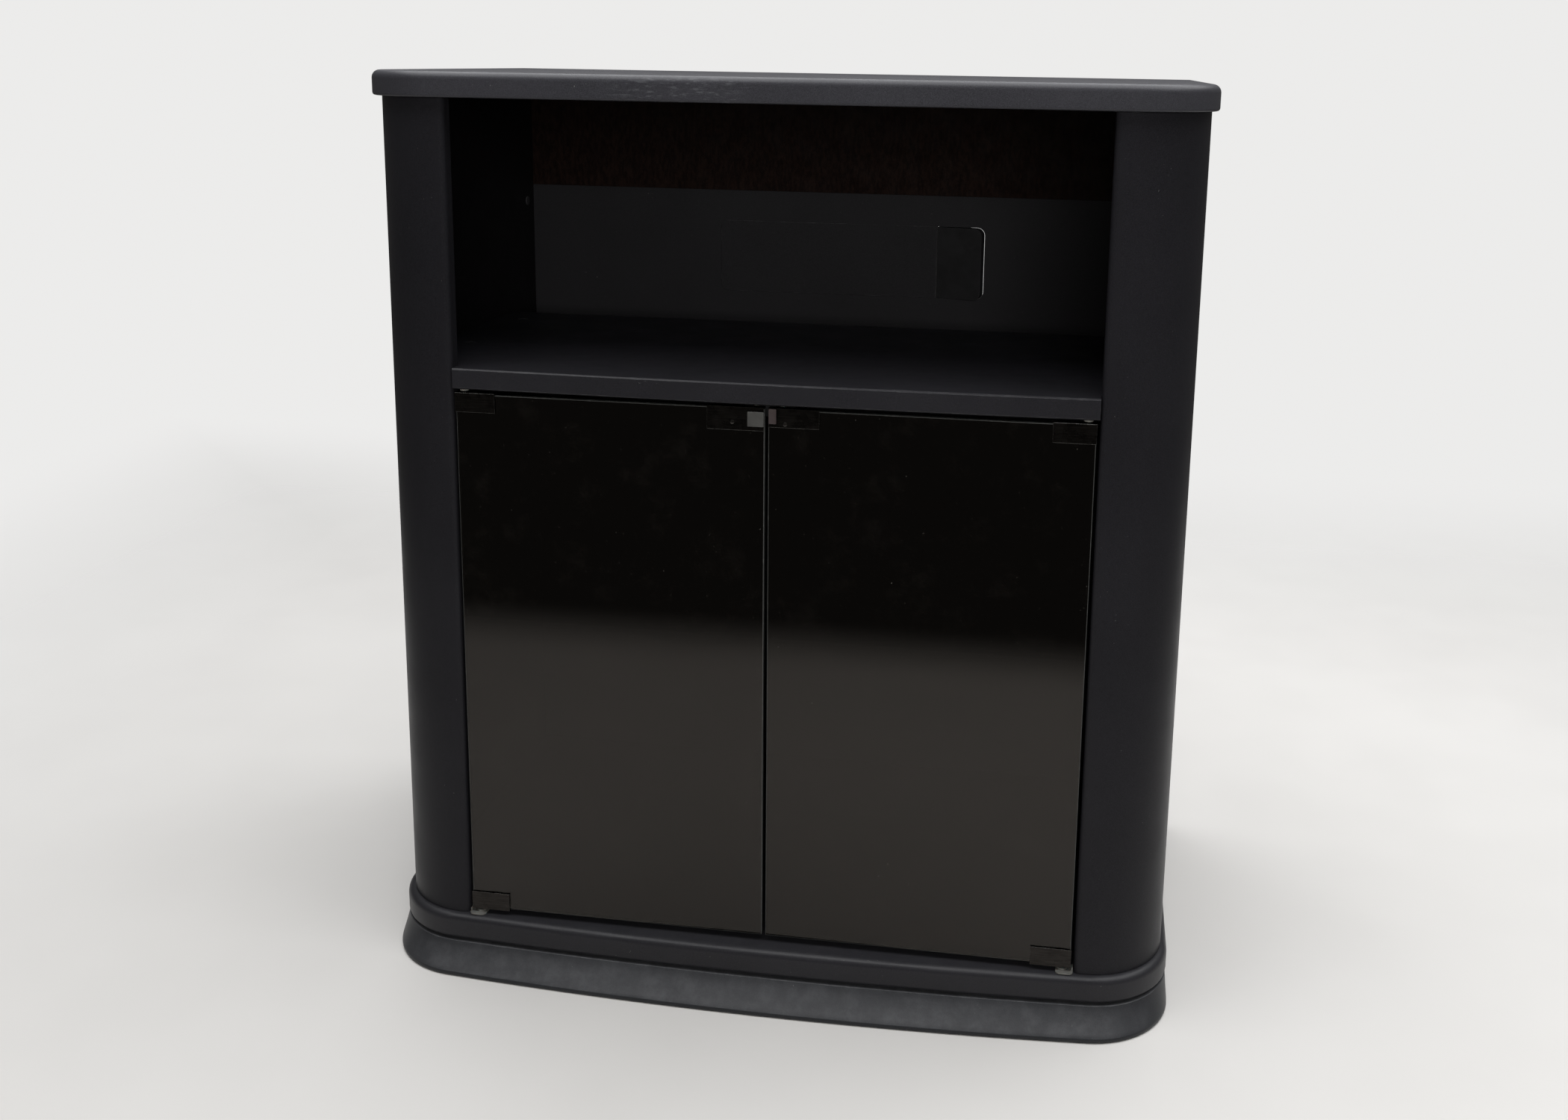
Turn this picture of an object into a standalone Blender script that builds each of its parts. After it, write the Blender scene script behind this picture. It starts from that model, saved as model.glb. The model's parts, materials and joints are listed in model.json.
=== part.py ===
"""Tall stand cabinet on a swivel base: an open bay over two smoked glass doors.

Metres, +Z up. The front faces -Y, X runs to the right and the floor is z = 0.
The swivel axis is the Z axis. Every piece is modelled in its place at rest.
"""

import math

import bmesh
import bpy
from mathutils import Matrix, Vector

# Driving dimensions.
GAP = 0.0003  # clearance left between pieces that touch
FACE_Y = -0.18915  # plane of the front columns' faces
BACK_Y = FACE_Y + 0.414  # rear edge of the top and bottom boards
HALF_W = 0.365  # outside half width over the columns
OPENING = 0.285  # half width of the front opening, between the columns' noses
PANEL = 0.016  # side and back boards, and the columns' shells
COLUMN_R = 0.072  # outside radius of the quarter-round columns
NOSE_R = 0.0055  # rounding of a column's inner front edge

PLINTH_TOP = 0.0265
FLOOR_BOTTOM = 0.0285  # underside of the bottom board
FLOOR_TOP = 0.053
SHELF_BOTTOM = 0.564
SHELF_TOP = 0.5825
TOP_BOTTOM = 0.819
TOP_TOP = 0.841
BACK_PANEL_Y = FACE_Y + 0.397  # front face of the back panel
BACK_PANEL_TOP = 0.714
BACK_BOARD = 0.0032  # hardboard that closes the back above the back panel
SHELF_BACK = FACE_Y + 0.315

TOP_PLAN = dict(half=0.371, corner=0.074, front=FACE_Y - 0.0082, bow=0.0)
FLOOR_PLAN = dict(half=0.371, corner=0.076, front=FACE_Y - 0.0167, bow=0.0100)
PLINTH_TOP_PLAN = dict(half=0.3705, corner=0.0755, front=FACE_Y - 0.0162, bow=0.0100)
PLINTH_FOOT_PLAN = dict(half=0.3725, corner=0.079, front=FACE_Y - 0.0370, bow=0.0125)
SHELF_BOW = 0.0047

DOOR_EDGE = 0.2822  # outer edge of a door, from the middle
DOOR_SPLIT = 0.0017  # half of the gap between the doors
DOOR_BOTTOM = 0.0595
DOOR_TOP = 0.5593
GLASS = 0.005
GLASS_Y = FACE_Y + 0.0018  # front face of the glass
PIVOT_X = 0.2750
PIVOT_Y = FACE_Y + 0.0050
PIN_R = 0.0020
UPPER_BUSH_R = 0.0030
LOWER_BUSH_R = 0.0045
LEAF = 0.0012  # sheet thickness of the clamps on the glass
CLAMP_W = 0.0368
CLAMP_H = 0.0160

BEARING_FLOOR = 0.0175  # bottom of the bearing's recess in the plinth
RACE_R = 0.100
BALL_R = 0.0029
BALLS = 14
BEARING_SCREWS = 3
BEARING_IN = 0.046
BEARING_OUT = 0.122
PLATE = 0.002
LOWER_SCREW_R = 0.064
UPPER_SCREW_R = 0.072
SWIVEL_STOP = 25.0  # degrees each way

PORT_LEFT = -0.1334
PORT_SPLIT = 0.1056  # hinge line between the fixed cover and its flap
PORT_RIGHT = 0.1554
PORT_LOW = 0.6032
PORT_HIGH = 0.6806
PORT_R = 0.008
PORT_FACE_Y = BACK_PANEL_Y + 0.0002  # front face of the cover, and the flap's hinge line
FLAP_AJAR = 13.0  # degrees that the flap stands out at rest
FLAP_DEPTH = 0.0115

STRIKE_LENGTH = dict(left=0.0510, right=0.0450)
RIVET_X = dict(left=0.0300, right=0.0167)
STRIKE_DROP = dict(left=0.0195, right=0.0155)
PADS = dict(left=(0.0018, 0.0163, 0.5440, 0.5572), right=(0.0024, 0.0092, 0.5472, 0.5605))
CAP_R = 0.0050  # push-in caps over the joint fittings
CAP_H = 0.0011
SHELF_CAPS = dict(front=FACE_Y + 0.127, rear=FACE_Y + 0.270)
SHELF_CAP_X = 0.318

LATCH_X = 0.0115  # plunger spacing is twice this
LATCH_FRONT = FACE_Y + 0.0180
LATCH_BACK = FACE_Y + 0.0620
LATCH_Z = 0.5560
LATCH_SCREWS = (LATCH_FRONT + 0.0100, LATCH_BACK - 0.0080)
PLUNGER_R = 0.0045

PAINT = (0.028, 0.027, 0.030)
STEEL = (0.55, 0.55, 0.56)
DARK_STEEL = (0.09, 0.085, 0.08)
NYLON = (0.29, 0.29, 0.27)


# Scene helpers.


def clear_scene():
    for obj in list(bpy.data.objects):
        bpy.data.objects.remove(obj, do_unlink=True)


def make_material(name, color, roughness, metallic=0.0, transmission=0.0):
    material = bpy.data.materials.new(name)
    material.use_nodes = True
    shader = material.node_tree.nodes["Principled BSDF"]
    shader.inputs["Base Color"].default_value = (*color, 1.0)
    shader.inputs["Roughness"].default_value = roughness
    shader.inputs["Metallic"].default_value = metallic
    shader.inputs["Transmission Weight"].default_value = transmission
    material.diffuse_color = (*color, 1.0)
    return material


def make_empty(name, at, parent=None):
    empty = bpy.data.objects.new(name, None)
    empty.empty_display_size = 0.03
    bpy.context.scene.collection.objects.link(empty)
    empty["at"] = at
    empty.location = Vector(at)
    if parent:
        empty.parent = parent
        empty.location -= Vector(parent["at"])
    return empty


def finish(name, bm, color, roughness, parent, metallic=0.0, transmission=0.0):
    """Turns a bmesh in world coordinates into an object under parent, with its own material."""
    origin = Vector(parent["at"])
    bmesh.ops.recalc_face_normals(bm, faces=bm.faces)
    bmesh.ops.translate(bm, verts=bm.verts, vec=-origin)
    mesh = bpy.data.meshes.new(name)
    bm.to_mesh(mesh)
    bm.free()
    mesh.materials.append(make_material(name, color, roughness, metallic, transmission))
    mesh.shade_smooth()
    mesh.set_sharp_from_angle(angle=math.radians(30))
    obj = bpy.data.objects.new(name, mesh)
    bpy.context.scene.collection.objects.link(obj)
    obj.parent = parent
    return obj


def make_cutter(name, bm):
    bmesh.ops.recalc_face_normals(bm, faces=bm.faces)
    mesh = bpy.data.meshes.new(name)
    bm.to_mesh(mesh)
    bm.free()
    cutter = bpy.data.objects.new(name, mesh)
    bpy.context.scene.collection.objects.link(cutter)
    cutter.hide_render = True
    cutter.display_type = "WIRE"
    return cutter


def combine(obj, other, operation="DIFFERENCE"):
    modifier = obj.modifiers.new(operation.lower(), "BOOLEAN")
    modifier.operation = operation
    modifier.solver = "EXACT"
    modifier.object = other
    return obj


# Shapes. Each add_ function puts one closed solid into a bmesh.


def arc(cx, cy, radius, start, end, steps):
    """Points on an arc, both ends included. Angles in degrees."""
    angles = [math.radians(start + (end - start) * i / steps) for i in range(steps + 1)]
    return [(cx + radius * math.cos(a), cy + radius * math.sin(a)) for a in angles]


def rounded_rectangle(x0, y0, x1, y1, radii, steps=6):
    """Anticlockwise outline. radii: lower left, lower right, upper right, upper left."""
    corners = [
        (x0, y0, 1, 1, 180, radii[0]),
        (x1, y0, -1, 1, 270, radii[1]),
        (x1, y1, -1, -1, 0, radii[2]),
        (x0, y1, 1, -1, 90, radii[3]),
    ]
    points = []
    for x, y, sx, sy, start, radius in corners:
        if radius:
            points += arc(x + sx * radius, y + sy * radius, radius, start, start + 90, steps)
        else:
            points.append((x, y))
    return points


def board_plan(half, corner, front, bow, inset=0.0, steps=16, front_steps=14):
    """Plan of a board: rounded front corners, a front edge bowed out by bow, a straight back."""
    half -= inset
    corner -= inset
    front += inset
    turn = 0.0
    for _ in range(8):
        span = half - corner + corner * math.sin(turn)
        turn = math.atan(2 * bow / span)
    cy = front + bow + corner * math.cos(turn)
    degrees = math.degrees(turn)
    points = [(-half, BACK_Y)]
    points += arc(-half + corner, cy, corner, 180, 270 - degrees, steps)
    for i in range(1, front_steps):
        x = -span + 2 * span * i / front_steps
        points.append((x, front + bow * (x / span) ** 2))
    points += arc(half - corner, cy, corner, 270 + degrees, 360, steps)
    points.append((half, BACK_Y))
    return points


def place(points, level, axis):
    """Lifts 2D points into space: (x, y) on Z, (x, z) on Y or (y, z) on X."""
    if axis == "Z":
        return [Vector((a, b, level)) for a, b in points]
    if axis == "Y":
        return [Vector((a, level, b)) for a, b in points]
    return [Vector((level, a, b)) for a, b in points]


def add_loft(bm, rings):
    verts = [[bm.verts.new(point) for point in ring] for ring in rings]
    count = len(rings[0])
    for low, high in zip(verts, verts[1:]):
        for i in range(count):
            j = (i + 1) % count
            bm.faces.new((low[i], low[j], high[j], high[i]))
    bm.faces.new(verts[0][::-1])
    bm.faces.new(verts[-1])


def add_extrusion(bm, points, low, high, axis="Z"):
    add_loft(bm, [place(points, low, axis), place(points, high, axis)])


def add_box(bm, low, high, bevel=0.0):
    points = [(low[0], low[1]), (high[0], low[1]), (high[0], high[1]), (low[0], high[1])]
    part = bmesh.new()
    add_extrusion(part, points, low[2], high[2])
    if bevel:
        bmesh.ops.bevel(
            part, geom=part.edges[:], offset=bevel, segments=2, profile=0.5, affect="EDGES"
        )
    absorb(bm, part)


def absorb(bm, part):
    """Moves the solids of part into bm."""
    scratch = bpy.data.meshes.new("scratch")
    part.to_mesh(scratch)
    part.free()
    bm.from_mesh(scratch)
    bpy.data.meshes.remove(scratch)


def frame_of(direction):
    """A rotation that takes +Z to direction."""
    return Vector((0, 0, 1)).rotation_difference(Vector(direction)).to_matrix()


def circle(radius, height, origin, turn, segments):
    points = []
    for i in range(segments):
        angle = 2 * math.pi * (i + 0.5) / segments
        local = Vector((radius * math.cos(angle), radius * math.sin(angle), height))
        points.append(Vector(origin) + turn @ local)
    return points


def add_turned(bm, profile, origin, direction=(0, 0, 1), segments=16):
    """A solid of revolution. profile is a list of (radius, height) from end to end."""
    turn = frame_of(direction)
    add_loft(bm, [circle(r, h, origin, turn, segments) for r, h in profile])


def add_turned_ring(bm, profile, origin, direction=(0, 0, 1), segments=24):
    """A ring of revolution. profile is a closed outline of (radius, height)."""
    turn = frame_of(direction)
    rings = []
    for r, h in profile:
        rings.append([bm.verts.new(p) for p in circle(r, h, origin, turn, segments)])
    for i, low in enumerate(rings):
        high = rings[(i + 1) % len(rings)]
        for j in range(segments):
            k = (j + 1) % segments
            bm.faces.new((low[j], low[k], high[k], high[j]))


def around(radius, count, start=0.0):
    """Points spaced evenly round the swivel axis."""
    angles = [math.radians(start) + 2 * math.pi * i / count for i in range(count)]
    return [(radius * math.cos(a), radius * math.sin(a)) for a in angles]


def add_screw(bm, at, direction, head_r, head_h, shank_r, length, segments=10):
    """A pan-head screw. at is the seat under the head, direction points out of the head."""
    profile = [
        (shank_r * 0.4, -length),
        (shank_r, -length + shank_r * 1.5),
        (shank_r, 0.0),
        (head_r, 0.0),
        (head_r, head_h * 0.45),
        (head_r * 0.72, head_h),
    ]
    add_turned(bm, profile, at, direction, segments)


# Boards and columns.


def edge_rounding(plan, low, high, top_r, bottom_r, top_steps=6, bottom_steps=3):
    """Rings of a board whose upper and lower edges are rounded, except at the back."""
    rings = []
    for i in range(bottom_steps + 1):
        a = math.pi / 2 * (1 - i / bottom_steps)
        inset = bottom_r * (1 - math.cos(a))
        rings.append(place(board_plan(**plan, inset=inset), low + bottom_r * (1 - math.sin(a)), "Z"))
    for i in range(top_steps + 1):
        a = math.pi / 2 * i / top_steps
        inset = top_r * (1 - math.cos(a))
        rings.append(place(board_plan(**plan, inset=inset), high - top_r * (1 - math.sin(a)), "Z"))
    return rings


def make_top_board(cabinet):
    bm = bmesh.new()
    add_loft(bm, edge_rounding(TOP_PLAN, TOP_BOTTOM, TOP_TOP, 0.0070, 0.0025))
    finish("top_board", bm, PAINT, 0.4, cabinet)


def make_bottom_board(cabinet):
    """Carries both columns and the doors' lower pivots. Its underside takes the swivel plate."""
    bm = bmesh.new()
    add_loft(bm, edge_rounding(FLOOR_PLAN, FLOOR_BOTTOM, FLOOR_TOP, 0.0070, 0.0040))
    board = finish("bottom_board", bm, PAINT, 0.4, cabinet)
    holes = bmesh.new()
    for side in (-1, 1):
        radius = LOWER_BUSH_R + GAP
        at = (side * PIVOT_X, PIVOT_Y, FLOOR_TOP)
        add_turned(holes, [(radius, -0.0100), (radius, 0.004)], at, segments=20)
    for x, y in around(UPPER_SCREW_R, BEARING_SCREWS, 30):
        add_turned(holes, [(0.0021, -0.004), (0.0021, 0.0122)], (x, y, FLOOR_BOTTOM), segments=10)
    combine(board, make_cutter("bottom_board_holes", holes))


def make_plinth(base):
    """The swivel base: a board whose front slopes out to a low lip, recessed for the bearing."""
    low_plan = board_plan(**PLINTH_FOOT_PLAN)
    high_plan = board_plan(**PLINTH_TOP_PLAN)
    lip_top = 0.0050
    rings = []
    for inset, level in ((0.0020, 0.0), (0.0006, 0.0006), (0.0, 0.0020), (0.0, 0.0038)):
        rings.append(place(board_plan(**PLINTH_FOOT_PLAN, inset=inset), level, "Z"))
    steps = 8
    for i in range(steps + 1):
        share = i / steps
        spread = 0.97 * (1 - share) ** 1.2
        level = lip_top + (PLINTH_TOP - 0.0004 - lip_top) * share
        rings.append(place(mix(high_plan, low_plan, spread), level, "Z"))
    rings.append(place(board_plan(**PLINTH_TOP_PLAN, inset=0.0010), PLINTH_TOP, "Z"))
    bm = bmesh.new()
    add_loft(bm, rings)
    plinth = finish("base_plinth", bm, PAINT, 0.42, base)
    holes = bmesh.new()
    recess = [(BEARING_OUT + 0.004, 0.0), (BEARING_OUT + 0.004, 0.02)]
    add_turned(holes, recess, (0, 0, BEARING_FLOOR), segments=64)
    combine(plinth, make_cutter("bearing_recess", holes))
    screws = bmesh.new()
    for x, y in around(LOWER_SCREW_R, BEARING_SCREWS, 90):
        add_turned(screws, [(0.0021, -0.0115), (0.0021, 0.004)], (x, y, BEARING_FLOOR), segments=10)
    combine(plinth, make_cutter("plinth_screw_holes", screws))


def mix(first, second, share):
    """Each point of the first outline moved towards the second's by share."""
    pairs = zip(first, second)
    return [(a[0] + (b[0] - a[0]) * share, a[1] + (b[1] - a[1]) * share) for a, b in pairs]


def column_outline(side):
    """Section of a quarter-round column: a curved shell with a rounded nose at the opening."""
    cx = HALF_W - COLUMN_R
    cy = FACE_Y + COLUMN_R
    inner = COLUMN_R - PANEL
    points = [(OPENING, FACE_Y + PANEL)]
    points += arc(OPENING + NOSE_R, FACE_Y + NOSE_R, NOSE_R, 180, 270, 6)
    points += arc(cx, cy, COLUMN_R, 270, 360, 24)
    points += [(HALF_W, cy + 0.010), (HALF_W - PANEL, cy + 0.010)]
    points += arc(cx, cy, inner, 360, 270, 12)
    return [(side * x, y) for x, y in points]


def make_column(name, side, cabinet):
    bm = bmesh.new()
    add_extrusion(bm, column_outline(side), FLOOR_TOP + GAP, TOP_BOTTOM - GAP)
    finish(name, bm, PAINT, 0.4, cabinet)


def make_side_panel(name, side, cabinet):
    front = FACE_Y + COLUMN_R + 0.010 + GAP
    back = BACK_PANEL_Y - GAP
    x0, x1 = sorted((side * HALF_W, side * (HALF_W - PANEL)))
    bm = bmesh.new()
    add_box(bm, (x0, front, FLOOR_TOP + GAP), (x1, back, TOP_BOTTOM - GAP))
    finish(name, bm, PAINT, 0.4, cabinet)


def shelf_half():
    """Right half of the middle shelf's plan, from the front middle round to the back middle."""
    cx = HALF_W - COLUMN_R
    cy = FACE_Y + COLUMN_R
    front = FACE_Y + 0.0004
    edge = OPENING - GAP
    points = []
    steps = 8
    for i in range(steps + 1):
        x = edge * i / steps
        points.append((x, front - SHELF_BOW * (1 - (x / edge) ** 2)))
    points.append((edge, FACE_Y + PANEL + GAP))
    points += arc(cx, cy, COLUMN_R - PANEL - GAP, 270, 360, 12)
    points.append((HALF_W - PANEL - GAP, SHELF_BACK))
    return points


def make_middle_shelf(cabinet):
    right = shelf_half()
    left = [(-x, y) for x, y in right[1:]][::-1]
    outline = right + left
    bm = bmesh.new()
    rounding = 0.0012
    rings = []
    for inset, height in ((rounding, 0.0), (0.0, rounding)):
        rings.append(place(front_inset(outline, inset), SHELF_BOTTOM + height, "Z"))
    for inset, height in ((0.0, rounding), (rounding, 0.0)):
        rings.append(place(front_inset(outline, inset), SHELF_TOP - height, "Z"))
    add_loft(bm, rings)
    shelf = finish("middle_shelf", bm, PAINT, 0.4, cabinet)
    holes = bmesh.new()
    for side in (-1, 1):
        at = (side * PIVOT_X, PIVOT_Y, SHELF_BOTTOM)
        radius = UPPER_BUSH_R + GAP
        add_turned(holes, [(radius, -0.004), (radius, 0.0120)], at, segments=20)
        for y in SHELF_CAPS.values():
            seat = (side * SHELF_CAP_X, y, SHELF_TOP)
            add_turned(holes, [(CAP_R + GAP, -CAP_H - 2 * GAP), (CAP_R + GAP, 0.004)], seat, segments=14)
    for y in LATCH_SCREWS:
        add_turned(holes, [(0.0018, -0.004), (0.0018, 0.0090)], (0, y, SHELF_BOTTOM), segments=10)
    combine(shelf, make_cutter("middle_shelf_holes", holes))


def front_inset(outline, inset):
    """Moves only the front edge of the shelf back by inset."""
    limit = FACE_Y + 0.002
    return [(x, y + inset if y < limit else y) for x, y in outline]


def make_upper_back_board(cabinet):
    """Thin hardboard on the side panels' rear edges, from the back panel up to the top board."""
    edge = HALF_W - 0.0005
    low = (-edge, BACK_PANEL_Y, BACK_PANEL_TOP + GAP)
    high = (edge, BACK_PANEL_Y + BACK_BOARD, TOP_BOTTOM - GAP)
    bm = bmesh.new()
    add_box(bm, low, high, bevel=0.0003)
    finish("upper_back_board", bm, (0.02, 0.012, 0.009), 0.6, cabinet)


def make_back_panel(cabinet):
    """Closes the back from the bottom board to part of the open bay's height. It has the cable port."""
    edge = HALF_W - 0.0005
    low = (-edge, BACK_PANEL_Y, FLOOR_TOP + GAP)
    high = (edge, BACK_PANEL_Y + PANEL, BACK_PANEL_TOP)
    bm = bmesh.new()
    add_box(bm, low, high, bevel=0.0008)
    panel = finish("back_panel", bm, PAINT, 0.45, cabinet)
    margin = 0.00035
    outline = rounded_rectangle(
        PORT_LEFT - margin,
        PORT_LOW - margin,
        PORT_RIGHT + 0.0018,
        PORT_HIGH + margin,
        [PORT_R + margin] * 4,
    )
    holes = bmesh.new()
    add_extrusion(holes, outline, BACK_PANEL_Y - 0.01, BACK_PANEL_Y + PANEL + 0.01, "Y")
    combine(panel, make_cutter("cable_port", holes))
    screws = bmesh.new()
    for x, z in back_screw_places():
        add_turned(screws, [(0.0021, -0.01), (0.0021, 0.03)], (x, BACK_PANEL_Y, z), (0, 1, 0), 10)
    combine(panel, make_cutter("back_screw_holes", screws))


def back_screw_places():
    levels = (FLOOR_TOP + 0.050, (FLOOR_TOP + BACK_PANEL_TOP) / 2, BACK_PANEL_TOP - 0.050)
    return [(side * (HALF_W - PANEL / 2), level) for side in (-1, 1) for level in levels]


def make_back_screws(cabinet):
    """Screws through the back panel. They end at the side panels' rear edges."""
    for number, (x, z) in enumerate(back_screw_places(), 1):
        bm = bmesh.new()
        seat = (x, BACK_PANEL_Y + PANEL + GAP, z)
        add_screw(bm, seat, (0, 1, 0), 0.0040, 0.0020, 0.0018, 0.0155)
        finish(f"back_panel_screw_{number}", bm, STEEL, 0.35, cabinet, metallic=1.0)


def make_cap(name, at, direction, cabinet):
    """A push-in cap over a joint fitting."""
    bm = bmesh.new()
    profile = [(CAP_R, 0.0), (CAP_R, CAP_H - 0.0003), (CAP_R - 0.0004, CAP_H)]
    add_turned(bm, profile, at, direction, 14)
    finish(name, bm, (0.12, 0.12, 0.12), 0.4, cabinet)


def make_caps(word, side, cabinet):
    """The shelf's caps lie flush in its top. The one on the side panel stands proud."""
    for end, y in SHELF_CAPS.items():
        at = (side * SHELF_CAP_X, y, SHELF_TOP - CAP_H - GAP / 3)
        make_cap(f"{word}_{end}_shelf_cap", at, (0, 0, 1), cabinet)
    at = (side * (HALF_W - PANEL - GAP), FACE_Y + 0.3747, 0.6975)
    make_cap(f"{word}_side_cap", at, (-side, 0, 0), cabinet)


# Cable port.


def tray_rings(outline, inner, front, back, floor):
    """Rings of a shallow tray that opens backwards: outside, rim, inside, floor."""
    return [
        place(outline, front, "Y"),
        place(outline, back, "Y"),
        place(inner, back, "Y"),
        place(inner, floor, "Y"),
    ]


def make_port_cover(cabinet):
    """The fixed part of the cable port's cover, flush in the back panel."""
    radii = [PORT_R, 0.0, 0.0, PORT_R]
    right = PORT_SPLIT
    outer = rounded_rectangle(PORT_LEFT, PORT_LOW, right, PORT_HIGH, radii)
    wall = 0.0020
    inside = PORT_R - wall
    inner = rounded_rectangle(
        PORT_LEFT + wall, PORT_LOW + wall, right - wall, PORT_HIGH - wall, [inside, 0.0, 0.0, inside]
    )
    bm = bmesh.new()
    rings = tray_rings(outer, inner, PORT_FACE_Y, PORT_FACE_Y + FLAP_DEPTH, PORT_FACE_Y + 0.0025)
    add_loft(bm, rings)
    finish("cable_port_cover", bm, PAINT, 0.45, cabinet)


def make_port_flap(flap):
    """The cover's right end: a shallow tray hinged at its left edge, standing ajar."""
    radii = [0.0, PORT_R, PORT_R, 0.0]
    wall = 0.0020
    width = PORT_RIGHT - PORT_SPLIT
    outer = rounded_rectangle(0.0004, PORT_LOW, width, PORT_HIGH, radii)
    inside = PORT_R - wall
    inner = rounded_rectangle(
        0.0004 + wall, PORT_LOW + wall, width - wall, PORT_HIGH - wall, [0.0, inside, inside, 0.0]
    )
    bm = bmesh.new()
    add_loft(bm, tray_rings(outer, inner, 0.0, FLAP_DEPTH, 0.0025))
    turn = Matrix.Rotation(-math.radians(FLAP_AJAR), 4, "Z")
    move = Matrix.Translation((PORT_SPLIT, PORT_FACE_Y, 0.0))
    bmesh.ops.transform(bm, matrix=move @ turn, verts=bm.verts)
    finish("cable_port_flap", bm, (0.06, 0.058, 0.055), 0.45, flap)


# Doors.


def make_glass(name, side, door):
    x0, x1 = sorted((side * DOOR_SPLIT, side * DOOR_EDGE))
    bm = bmesh.new()
    add_box(bm, (x0, GLASS_Y, DOOR_BOTTOM), (x1, GLASS_Y + GLASS, DOOR_TOP), bevel=0.0006)
    finish(name, bm, (0.10, 0.085, 0.075), 0.03, door, transmission=0.8)


def channel_outline(edge_z, height, up):
    """YZ section of a sheet clamp that straddles the glass. up is +1 for the glass's top edge."""
    front = GLASS_Y - GAP - LEAF
    back = GLASS_Y + GLASS + GAP + LEAF
    web = edge_z + up * (GAP + LEAF)
    tip = edge_z - up * height
    return [
        (front, tip),
        (front, web),
        (back, web),
        (back, tip),
        (back - LEAF, tip),
        (back - LEAF, edge_z + up * GAP),
        (front + LEAF, edge_z + up * GAP),
        (front + LEAF, tip),
    ]


def make_hinge_clamp(name, side, up, door):
    """A clamp on a door's outer corner, with the pivot pin standing on its web."""
    edge_z = DOOR_TOP if up > 0 else DOOR_BOTTOM
    outer = DOOR_EDGE + 0.0004
    x0, x1 = sorted((side * outer, side * (outer - CLAMP_W)))
    bm = bmesh.new()
    add_extrusion(bm, channel_outline(edge_z, CLAMP_H, up), x0, x1, "X")
    clamp = finish(name, bm, DARK_STEEL, 0.25, door, metallic=1.0)
    pin = bmesh.new()
    web = edge_z + up * (GAP + LEAF / 2)
    profile = [(PIN_R, 0.0), (PIN_R, 0.0100), (PIN_R * 0.7, 0.0108)]
    add_turned(pin, profile, (side * PIVOT_X, PIVOT_Y, web), (0, 0, up), 16)
    combine(clamp, make_cutter(name + "_pin", pin), "UNION")
    hole = bmesh.new()
    add_turned(hole, [(0.0025, -0.001), (0.0025, 0.006)], clamp_screw_seat(side, up), (0, 1, 0), 16)
    combine(clamp, make_cutter(name + "_hole", hole))


def clamp_screw_seat(side, up):
    edge_z = DOOR_TOP if up > 0 else DOOR_BOTTOM
    return (side * (DOOR_EDGE - CLAMP_W / 2), GLASS_Y + GLASS + GAP, edge_z - up * CLAMP_H * 0.55)


def make_clamp_screw(name, side, up, door):
    """The grub screw that grips the glass through a hinge clamp's rear leaf, with a hexagon socket."""
    profile = [(0.0022, 0.0), (0.0022, 0.0026), (0.0018, 0.0030)]
    bm = bmesh.new()
    add_turned(bm, profile, clamp_screw_seat(side, up), (0, 1, 0), 16)
    screw = finish(name, bm, STEEL, 0.3, door, metallic=1.0)
    socket = bmesh.new()
    add_turned(socket, [(0.0011, 0.0014), (0.0011, 0.006)], clamp_screw_seat(side, up), (0, 1, 0), 6)
    combine(screw, make_cutter(name + "_socket", socket))


def make_top_bush(name, side, cabinet):
    """A small flanged nylon bush in the shelf's underside."""
    bore = PIN_R + 0.00008
    profile = [
        (bore, -0.0112),
        (UPPER_BUSH_R, -0.0112),
        (UPPER_BUSH_R, GAP),
        (0.0042, GAP),
        (0.0042, 0.0014),
        (0.0036, 0.0018),
        (bore, 0.0018),
    ]
    bm = bmesh.new()
    add_turned_ring(bm, profile, (side * PIVOT_X, PIVOT_Y, SHELF_BOTTOM), (0, 0, -1), 20)
    finish(name, bm, NYLON, 0.5, cabinet)


def make_bottom_bush(name, side, cabinet):
    """A nylon bush on the bottom board: a plate with a boss for the pin and a rib by the column."""
    z = FLOOR_TOP + GAP
    x0, x1 = sorted((side * (PIVOT_X - 0.0060), side * (OPENING - GAP)))
    plate = rounded_rectangle(x0, FACE_Y - 0.0035, x1, FACE_Y + 0.0125, [0.0040] * 4)
    bm = bmesh.new()
    add_extrusion(bm, plate, z, z + 0.0014)
    bush = finish(name, bm, NYLON, 0.5, cabinet)
    boss = bmesh.new()
    at = (side * PIVOT_X, PIVOT_Y, z)
    add_turned(boss, [(LOWER_BUSH_R, -0.0090), (LOWER_BUSH_R, 0.0026), (0.0040, 0.0031)], at, segments=20)
    combine(bush, make_cutter(name + "_boss", boss), "UNION")
    rib = bmesh.new()
    x0, x1 = sorted((side * (OPENING - 0.0018), side * (OPENING - GAP)))
    add_box(rib, (x0, FACE_Y + 0.0010, z), (x1, FACE_Y + 0.0080, z + 0.0042))
    combine(bush, make_cutter(name + "_rib", rib), "UNION")
    bore = bmesh.new()
    bore_r = PIN_R + 0.00008
    add_turned(bore, [(bore_r, -0.012), (bore_r, 0.010)], at, segments=20)
    combine(bush, make_cutter(name + "_bore", bore))


# Touch latch.


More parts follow.
